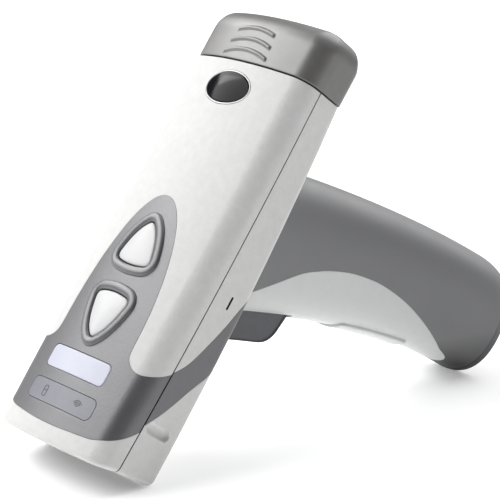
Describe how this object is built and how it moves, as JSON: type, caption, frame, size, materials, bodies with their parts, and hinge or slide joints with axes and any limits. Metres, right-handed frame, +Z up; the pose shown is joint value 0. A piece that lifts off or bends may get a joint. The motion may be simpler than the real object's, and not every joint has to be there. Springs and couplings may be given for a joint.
{
  "type": "handheld scanner",
  "caption": "Cordless pistol-grip scanner: flat two-tone head with nose window, triangular keys, light bar and pull-off rear cap, on an overmoulded grip with a trigger.",
  "frame": {"origin": "centre of the footprint on the table, with the scanner standing on its nose edge and the lip of its butt", "axes": "+Z up from the table, +Y from the nose towards the butt of the grip, +X to the side of the head; the head's long axis lies in the YZ plane, 53 degrees above the table"},
  "size_m": [0.052, 0.17, 0.1176],
  "materials": {
    "white_housing": "fine grained moulding",
    "soft_grey": "soft-touch matte",
    "dark_grey": "matte",
    "black_plastic": "matte",
    "badge_gloss": "high gloss",
    "bright_metal": "satin",
    "key_white": "satin",
    "light_diffuser": "milky translucent",
    "smoked_window": "gloss",
    "optics_glass": "gloss",
    "circuit_board": "solder mask",
    "battery_wrap": "shrink film"
  },
  "bodies": {
    "housing": {"top_shell": "white_housing", "bottom_shell": "white_housing", "grip_core": "white_housing", "strap_plate": "white_housing", "top_overmould": "soft_grey", "belly_overmould": "soft_grey", "grip_overmould": "soft_grey", "status_label": "soft_grey", "rear_bulkhead": "dark_grey", "window_bezel": "dark_grey", "imager_chassis": "dark_grey", "rear_connector": "black_plastic", "lens_barrel_near": "black_plastic", "lens_barrel_far": "black_plastic", "beeper": "black_plastic", "memory_chip": "black_plastic", "butt_plate": "black_plastic", "battery_lead": "black_plastic", "badge_lens": "badge_gloss", "badge_ring": "bright_metal", "bulkhead_screw_left": "bright_metal", "bulkhead_screw_right": "bright_metal", "upper_key_switch": "bright_metal", "lower_key_switch": "bright_metal", "processor_shield": "bright_metal", "radio_module": "bright_metal", "vibration_motor": "bright_metal", "grip_screw_front": "bright_metal", "grip_screw_rear": "bright_metal", "butt_screw_front": "bright_metal", "butt_screw_rear": "bright_metal", "trigger_pin": "bright_metal", "light_bar": "light_diffuser", "bar_led_left": "light_diffuser", "bar_led_centre": "light_diffuser", "bar_led_right": "light_diffuser", "battery_led": "light_diffuser", "radio_led": "light_diffuser", "nose_window": "smoked_window", "aimer_lens": "optics_glass", "illuminator_left": "optics_glass", "illuminator_right": "optics_glass", "lens_near": "optics_glass", "lens_far": "optics_glass", "key_board": "circuit_board", "main_board": "circuit_board", "battery_pack": "battery_wrap"},
    "upper_key": {"upper_key": "key_white"},
    "lower_key": {"lower_key": "key_white"},
    "trigger": {"trigger": "dark_grey"},
    "rear_cap": {"rear_cap": "soft_grey"}
  },
  "joints": [
    {"name": "upper_key_press", "type": "slide", "parent": "housing", "child": "upper_key", "axis": [0, 0.801, -0.5986], "range_m": [0, 0.0008], "stiffness_N_per_m": 2500, "springref_m": -0.0001},
    {"name": "lower_key_press", "type": "slide", "parent": "housing", "child": "lower_key", "axis": [0, 0.801, -0.5986], "range_m": [0, 0.0008], "stiffness_N_per_m": 2500, "springref_m": -0.0001},
    {"name": "trigger_pull", "type": "hinge", "parent": "housing", "child": "trigger", "pos_m": [0, -0.02542, 0.044], "axis": [1, 0, 0], "range_deg": [0, 5.5], "stiffness_Nm_per_rad": 1.2, "springref_deg": -1.15},
    {"name": "rear_cap_pull", "type": "slide", "parent": "housing", "child": "rear_cap", "axis": [0, 0.5986, 0.801], "range_m": [0, 0.04]}
  ]
}
